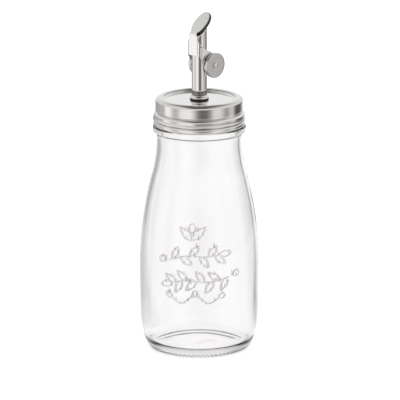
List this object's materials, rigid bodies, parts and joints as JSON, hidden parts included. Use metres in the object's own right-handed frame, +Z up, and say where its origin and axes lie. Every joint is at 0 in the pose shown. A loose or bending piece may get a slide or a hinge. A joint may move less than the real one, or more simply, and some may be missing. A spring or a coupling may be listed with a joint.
{
  "type": "glass oil bottle with gravity flap pourer",
  "caption": "Clear glass oil bottle with a two-piece screw lid and an upright steel spout, closed by a hinged flap that a pair of disc weights keeps shut.",
  "frame": {"origin": "centre of the ring that the bottle stands on", "axes": "+Z up along the bottle, +X towards the side that it pours from, Y along the flap's hinge pin"},
  "size_m": [0.0738, 0.0738, 0.2105],
  "materials": {
    "clear_glass": "clear, smooth",
    "brushed_steel": "brushed",
    "polished_steel": "polished",
    "pale_rubber": "matt",
    "black_rubber": "matt"
  },
  "bodies": {
    "bottle": {"bottle": "clear_glass"},
    "pourer": {"lid_disc": "polished_steel", "lid_gasket": "pale_rubber", "spout_tube": "polished_steel", "spout_collar": "polished_steel", "spout_ring": "black_rubber", "spout_washer": "black_rubber", "spout_nut": "brushed_steel", "pivot_pin": "brushed_steel"},
    "band": {"screw_band": "brushed_steel"},
    "flap": {"flap": "polished_steel", "flap_seal": "black_rubber", "weight_near": "brushed_steel", "weight_far": "brushed_steel", "rivet_near": "polished_steel", "rivet_far": "polished_steel"}
  },
  "joints": [
    {"name": "lid_lift", "type": "slide", "parent": "bottle", "child": "pourer", "axis": [0, 0, 1], "range_m": [0, 0.0033]},
    {"name": "band_turn", "type": "hinge", "parent": "pourer", "child": "band", "pos_m": [0, 0, 0.15], "axis": [0, 0, 1], "range_deg": [0, 396]},
    {"name": "flap_tilt", "type": "hinge", "parent": "pourer", "child": "flap", "pos_m": [0, 0, 0.1822], "axis": [0, -1, 0], "range_deg": [0, 60]}
  ],
  "couplings": [
    {"joint": "lid_lift", "follows": "band_turn", "m_per_rad": 0.00047746}
  ]
}
